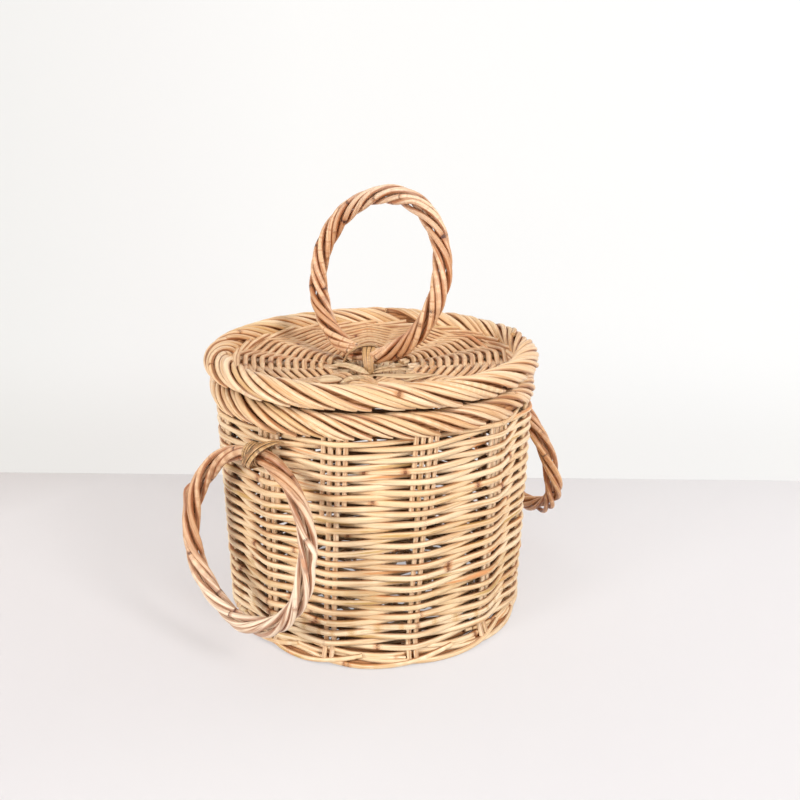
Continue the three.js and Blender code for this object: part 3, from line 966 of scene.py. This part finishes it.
def leaf(stops):
    """A pointed strip of peeled cane that lies on the hub, leaning a little to the front."""
    strands = Strands()
    path = np.array(stops, dtype=float)
    strands.add(path, (-0.33, -0.26, 0.91), np.array([0.3, 0.85, 1.0, 0.85, 0.2]))
    return strands


def node_names(prefix):
    return [name for name in frame["nodes"] if name.startswith(prefix)]


def pivot_of(joint_name):
    joint = next(item for item in frame["joints"] if item["name"] == joint_name)
    return np.array(joint["pos_m"]) / MM, np.array(joint["axis"])


# The basket's wall and base.
sweep("side_weave", side_weave(), SIDE_CANE, weave_finish, "basket",
      node_names("side_weaver"), depth=3.5, steps=4)
sweep("stakes", stakes(), STAKE_CANE, stake_finish, "basket",
      node_names("stake_"), steps=4)
sweep("foot_canes", foot_canes(), FOOT_CANE, weave_finish, "basket",
      ["foot_ring"])
sweep("base_rim", base_rim(), BASE_RIM_CANE, shade_finish, "basket", steps=2)
base_rows = disc_weave(38, 91, pitch=5.0, offset=3.2, profile=base_profile, beside=4)
sweep("base_weave", base_rows, BASE_ROW_CANE, split_finish, "basket",
      ["base_weaver"], depth=2.4)
base_cross = crossed_sticks(SPOKE_HEIGHT - 3.4, layer_gap=3.6, radius=33, spread=1.9, pitch=3.9)
sweep("base_cross", base_cross, BASE_STICK, stake_finish, "basket", ["base_hub"])

# The rolled borders of the body and of the lid.
rolls = rolled_border(BORDER_MIDDLE, half_width=5.2, half_height=7.0, start=235, end=-52,
                      spread=0.08, loose=(3, 4), on_top=(20, 41, 58))
sweep("body_border_canes", rolls, BORDER_CANE, border_finish, "basket",
      ["body_border"], sides=10, steps=2)
sweep("body_border_core", ring_core(BORDER_MIDDLE, half_width=1.6, half_height=3.4), CORE_CANE,
      shade_finish, "basket", steps=2)

rolls = rolled_border(LID_BORDER_MIDDLE, half_width=6.7, half_height=6.3, start=205, end=-60,
                      spread=0.1, loose=(2, 3, 4), on_top=(4, 7, 22, 35, 51))
sweep("lid_border_canes", rolls, BORDER_CANE, border_finish, "lid",
      ["lid_border"], sides=10, steps=2)
sweep("lid_border_core", ring_core(LID_BORDER_MIDDLE, half_width=3.0, half_height=2.8), CORE_CANE,
      shade_finish, "lid", steps=2)
sweep("lid_rim_canes", rim_canes(), LID_RIM_CANE, border_finish, "lid")

# The lid's woven disc and its hub.
lid_rows = disc_weave(LID_HUB_RADIUS + 3, LID_DISC_RADIUS + 3, pitch=LID_ROW_PITCH, offset=2.8,
                      profile=lid_profile, beside=4.2)
sweep("lid_weave", lid_rows, LID_ROW_CANE, lid_weave_finish, "lid",
      ["lid_weaver"], depth=3.2)
sweep("lid_spokes", lid_spokes(), LID_SPOKE_CANE, stake_finish, "lid",
      node_names("lid_spoke"))
lid_cross = crossed_sticks(LID_SPOKE_HEIGHT - 1.6, layer_gap=2.0, radius=LID_HUB_RADIUS + 2,
                           spread=1.7, pitch=4.3)
sweep("lid_cross", lid_cross, LID_STICK, split_finish, "lid", ["lid_hub"],
      depth=1.8)

# Strips of peeled cane on the lid's hub: the width of each, and its stops.
LEAVES = (
    (6.4, ((-16.5, -9.7, 165.5), (-19.6, -7.2, 167.6), (-20.5, -0.8, 169.0),
           (-21.1, 7.2, 169.6), (-26.0, 14.9, 169.0))),
    (6.4, ((-25.6, -17.8, 166.0), (-32.9, -18.8, 168.4), (-39.4, -18.6, 169.8),
           (-45.7, -17.6, 170.2), (-53.0, -17.3, 169.4))),
    (8.6, ((-44.2, -10.7, 168.6), (-49.2, -9.4, 169.8), (-53.2, -7.2, 170.2),
           (-56.2, -4.1, 170.0), (-57.3, 0.1, 169.0))),
    (3.6, ((-13.6, -10.5, 165.5), (-11.2, -15.7, 167.4), (-8.7, -20.1, 168.4),
           (-5.4, -23.8, 168.8), (0.2, -25.8, 168.4))),
    (5.0, ((-19.1, -13.8, 165.8), (-20.9, -26.5, 168.4), (-20.2, -38.2, 169.8),
           (-15.9, -47.1, 170.4), (-7.0, -54.3, 170.2))),
    (3.0, ((-27.2, -46.6, 169.6), (-21.1, -49.1, 170.2), (-14.7, -51.5, 170.6),
           (-9.6, -54.3, 170.8), (-3.1, -56.2, 170.4))),
    (3.0, ((-9.4, -7.1, 165.5), (-5.4, -10.4, 167.0), (-2.7, -12.8, 167.6),
           (1.3, -13.5, 167.6), (6.8, -12.5, 167.0))),
    (5.6, ((-6, 6, 164.2), (0, 11, 165.6), (5, 17, 166.8), (9, 24, 167), (11, 33, 166.2))),
)
for index, (width, stops) in enumerate(LEAVES):
    sweep(f"hub_leaf_{index}", leaf(stops), width, split_finish, "lid", depth=0.9)

# The three ring handles, and the ties of the two at the sides.
LID_WAVES = ((0, -0.75), (0.02, 0.54), (0.38, -0.22))
LEFT_WAVES = ((1.35, 1.64), (1.25, -1.37), (0.42, 0.79))
RIGHT_WAVES = ((0, 0), (0.37, 0.54), (0.38, -0.22))
TIE_STOPS = ((15, 8.2, -7.5), (12.6, 9.2, -2.4), (9.5, 7.7, 5.2), (5.2, 2.8, 8.6),
             (0.8, -2.6, 8.3), (-3.4, -7.0, 5.2), (-5.6, -9.8, -1), (-6.2, -10.6, -7.5))


def ring_handle(body, finish, tilt, passes, turns, reach, wander, kinks, waves):
    """Makes the wound ring of one body. Gives its pivot and the way out from the basket there."""
    pivot, axis = pivot_of(f"{body}_swing")
    above = body == "lid_handle"
    out = np.array([axis[1], -axis[0], 0])
    if not above and out @ pivot < 0:
        out = -out
    out = out / np.linalg.norm(out)
    places = ring_places(pivot, out, tilt, above, waves)
    rope = wound_rope(places, passes, turns, reach, wander, kinks)
    sweep(f"{body}_rope", rope, HANDLE_CANE, finish, body, [f"{body}_ring"],
          sides=10, unevenness=0.2)
    return pivot, out


def tie(place, pivot, out, along=0.0):
    """Ties a side ring to the basket, a little way along its rope from the pivot."""
    side = np.array([-out[1], out[0], 0])
    pivot = pivot + side * along
    sweep(f"{place}_tie", tie_band(pivot, side, out, TIE_STOPS), TIE_CANE, binding_finish,
          "basket", [f"{place}_handle_binding"], depth=1.0)
    sweep(f"{place}_tie_coil", tie_coil(pivot, side, out), COIL_CANE, binding_finish,
          f"{place}_handle", depth=0.9)


ring_handle("lid_handle", lid_rope_finish, tilt=14.4, passes=6, turns=4, reach=4.5, wander=0.5,
            kinks=((103, 1.0),), waves=LID_WAVES)
pivot, out = ring_handle("left_handle", side_rope_finish, tilt=11, passes=5, turns=3, reach=3.9,
                         wander=0.9, kinks=((112, 4.6), (49, 4.8)), waves=LEFT_WAVES)
tie("left", pivot, out, along=2.0)
pivot, out = ring_handle("right_handle", lid_rope_finish, tilt=17.3, passes=5, turns=3, reach=4.4,
                         wander=0.8, kinks=((99, 2.4),), waves=RIGHT_WAVES)
tie("right", pivot, out)

# The strap that holds the lid's ring: an arch across the rope, and a band down its front.
ARCH = ((-17.5, 11.5, 165.5), (-16.8, 10.8, 171.4), (-14.2, 8.8, 176.2), (-7.6, 3.6, 180.3),
        (-2.3, -2.4, 180.6), (-1.0, -5.6, 177.6), (-3.1, -5.7, 173))
ARCH_FACING = ((-0.6, 0.79, 0.1), (-0.6, 0.79, 0.4), (-0.5, 0.6, 0.8), (0, 0, 1),
               (0.4, -0.5, 0.8), (0.6, -0.79, 0.3), (0.6, -0.79, 0))
sweep("lid_strap_arch", strips(ARCH, ARCH_FACING, across=(-0.79, -0.61, 0), spread=2.2, count=3),
      ARCH_CANE, binding_finish, "lid", ["lid_handle_strap"], depth=0.9)
BAND = ((4, 1.6, 165.5), (3.2, 0.8, 174.2), (-0.9, 0, 179), (-6.4, -1.9, 179.6),
        (-10.6, -4.4, 175.4), (-12.6, -6.3, 168.8), (-12.9, -7.6, 162.6))
BAND_FACING = ((0.8, 0.6, 0.1), (0.8, 0.6, 0.5), (0.2, 0.1, 1), (-0.4, -0.3, 0.9),
               (-0.8, -0.6, 0.3), (-0.8, -0.6, 0.1), (-0.8, -0.6, 0))
BAND_SPREAD = (1.8, 2.6, 3.0, 3.0, 2.6, 2.0, 1.5)
sweep("lid_strap", strips(BAND, BAND_FACING, across=(0.61, -0.79, 0), spread=BAND_SPREAD, count=3),
      BAND_CANE, binding_finish, "lid", depth=1.0)


# Camera, light and background, in metres. The camera stands to the right of the basket's axis,
# back from it and above the floor. Its dip is in degrees, its sensor and lens are in mm.
CAMERA_TURN = math.radians(-52.6)
CAMERA_DIP = 17.84
CAMERA_RIGHT, CAMERA_BACK, CAMERA_HEIGHT = 0.0179, 0.6154, 0.3394
SENSOR, LENS = 36, 42.918
SHEET_REACH = 3
BASKET_MIDDLE = Vector((0, 0, 0.1))


def camera():
    """Makes the camera. Gives its ways to the right and ahead, along the floor."""
    right = np.array([math.cos(CAMERA_TURN), math.sin(CAMERA_TURN), 0])
    ahead = np.array([-math.sin(CAMERA_TURN), math.cos(CAMERA_TURN), 0])
    view = bpy.data.cameras.new("camera")
    view.sensor_width = SENSOR
    view.lens = LENS
    holder = new_object("camera", view)
    holder.location = Vector(CAMERA_RIGHT * right - CAMERA_BACK * ahead + CAMERA_HEIGHT * UP)
    holder.rotation_euler = (math.radians(90 - CAMERA_DIP), 0, CAMERA_TURN)
    bpy.context.scene.camera = holder
    return right, ahead


def area_light(name, place, size, power):
    """A round lamp that looks at the middle of the basket."""
    light = bpy.data.lights.new(name, "AREA")
    light.shape = "DISK"
    light.size = size
    light.energy = power
    holder = new_object(name, light)
    holder.location = Vector(place)
    way = BASKET_MIDDLE - Vector(place)
    holder.rotation_euler = way.to_track_quat("-Z", "Y").to_euler()


def backdrop_finish(name, colour, share, direction, tones, foot_shade=0.0):
    """Plain paint. The camera sees it mixed with a soft tone that casts no light.

    tones are how far along the direction, from -0.5 to 0.5 m, and the tone there; darker tones are
    painted shade and shadow. The last argument is how much darker the tone is painted at the foot
    of a
    wall: painted shade where the wall meets the floor. From behind, the sheet is clear, so that it
    never hides the basket.
    """
    finish, tree = new_finish(name)
    paint = put(tree, "ShaderNodeBsdfDiffuse", None, {"Color": (*colour, 1)})
    place = object_place(tree)
    way = how_far(tree, place, tuple(direction))
    stops = [(far + 0.5, tone) for far, tone in tones]
    tone = put(tree, "ShaderNodeValToRGB", {"stops": stops}, {0: way + 0.5})
    # Painted shade: the tone darkens at the foot of the wall, where it meets the floor.
    if foot_shade:
        height = put(tree, "ShaderNodeSeparateXYZ", None, {0: place}, 2)
        low = smooth_step(tree, height, 0.13, 0.02, 0, foot_shade)
        tone = mixed(tree, low, tone, rgb(196, 184, 174), "MULTIPLY")
    glow = put(tree, "ShaderNodeEmission", None, {"Color": tone, "Strength": 1.0})
    ray = put(tree, "ShaderNodeLightPath")
    seen = ray + Value(tree, ray.socket.node.outputs["Is Glossy Ray"])
    seen = seen + Value(tree, ray.socket.node.outputs["Is Transmission Ray"])
    shader = put(tree, "ShaderNodeMixShader", None, {0: seen * share, 1: paint, 2: glow})
    behind = put(tree, "ShaderNodeNewGeometry", None, None, "Backfacing")
    clear = put(tree, "ShaderNodeBsdfTransparent")
    shader = put(tree, "ShaderNodeMixShader", None, {0: behind, 1: shader, 2: clear})
    put(tree, "ShaderNodeOutputMaterial", None, {0: shader})
    return finish


def sheet(name, corners, finish):
    mesh = bpy.data.meshes.new(name)
    mesh.from_pydata([tuple(corner) for corner in corners], [], [(0, 1, 2, 3)])
    mesh.materials.append(finish)
    piece = new_object(name, mesh)


right, ahead = camera()
# Painted shadow and shade: the floor's tone grows darker towards the far left, where the basket's
# shadow falls, and the wall's tone towards the left and at its foot.
floor_finish = backdrop_finish(
    "floor paint", rgb(219, 214, 214), share=0.55, direction=right * 0.8 - ahead * 0.6,
    tones=((-0.42, rgb(210, 203, 199)), (-0.32, rgb(236, 231, 229)), (-0.06, rgb(239, 235, 235)),
           (0.1, rgb(249, 247, 247)), (0.21, rgb(245, 243, 244))))
wall_finish = backdrop_finish(
    "wall paint", rgb(246, 245, 243), share=0.92, direction=right,
    tones=((-0.36, rgb(239, 238, 235)), (-0.2, rgb(246, 244, 242)), (-0.06, rgb(252, 251, 249)),
           (0.3, rgb(254, 254, 253))), foot_shade=0.14)
far, aside = ahead * SHEET_REACH, right * SHEET_REACH
sheet("floor", [far - aside, -far - aside, aside - far, far + aside], floor_finish)
foot_left = ahead * 0.29 - aside
foot_right = ahead * 0.125 + aside
top = UP * SHEET_REACH
sheet("wall", [foot_left, foot_right, foot_right + top, foot_left + top], wall_finish)

# The world lights the basket softly, and the camera sees it as plain near-white.
world = bpy.data.worlds.new("studio")
world.use_nodes = True
sky = world.node_tree
sky.nodes.clear()
daylight, near_white = (
    put(sky, "ShaderNodeBackground", None, {"Color": (*colour, 1), "Strength": strength})
    for colour, strength in (((1.0, 0.985, 0.97), 0.45), (rgb(250, 249, 247), 1.0)))
ray = put(sky, "ShaderNodeLightPath")
shown = put(sky, "ShaderNodeMixShader", None, {0: ray, 1: daylight, 2: near_white})
put(sky, "ShaderNodeOutputWorld", None, {0: shown})
bpy.context.scene.world = world
area_light("key", right * 0.75 - ahead * 0.85 + UP * 0.85, size=0.4, power=11.3)
area_light("fill", right * -0.9 - ahead * 0.9 + UP * 0.55, size=0.5, power=10.0)

bpy.context.scene.view_settings.view_transform = "Standard"
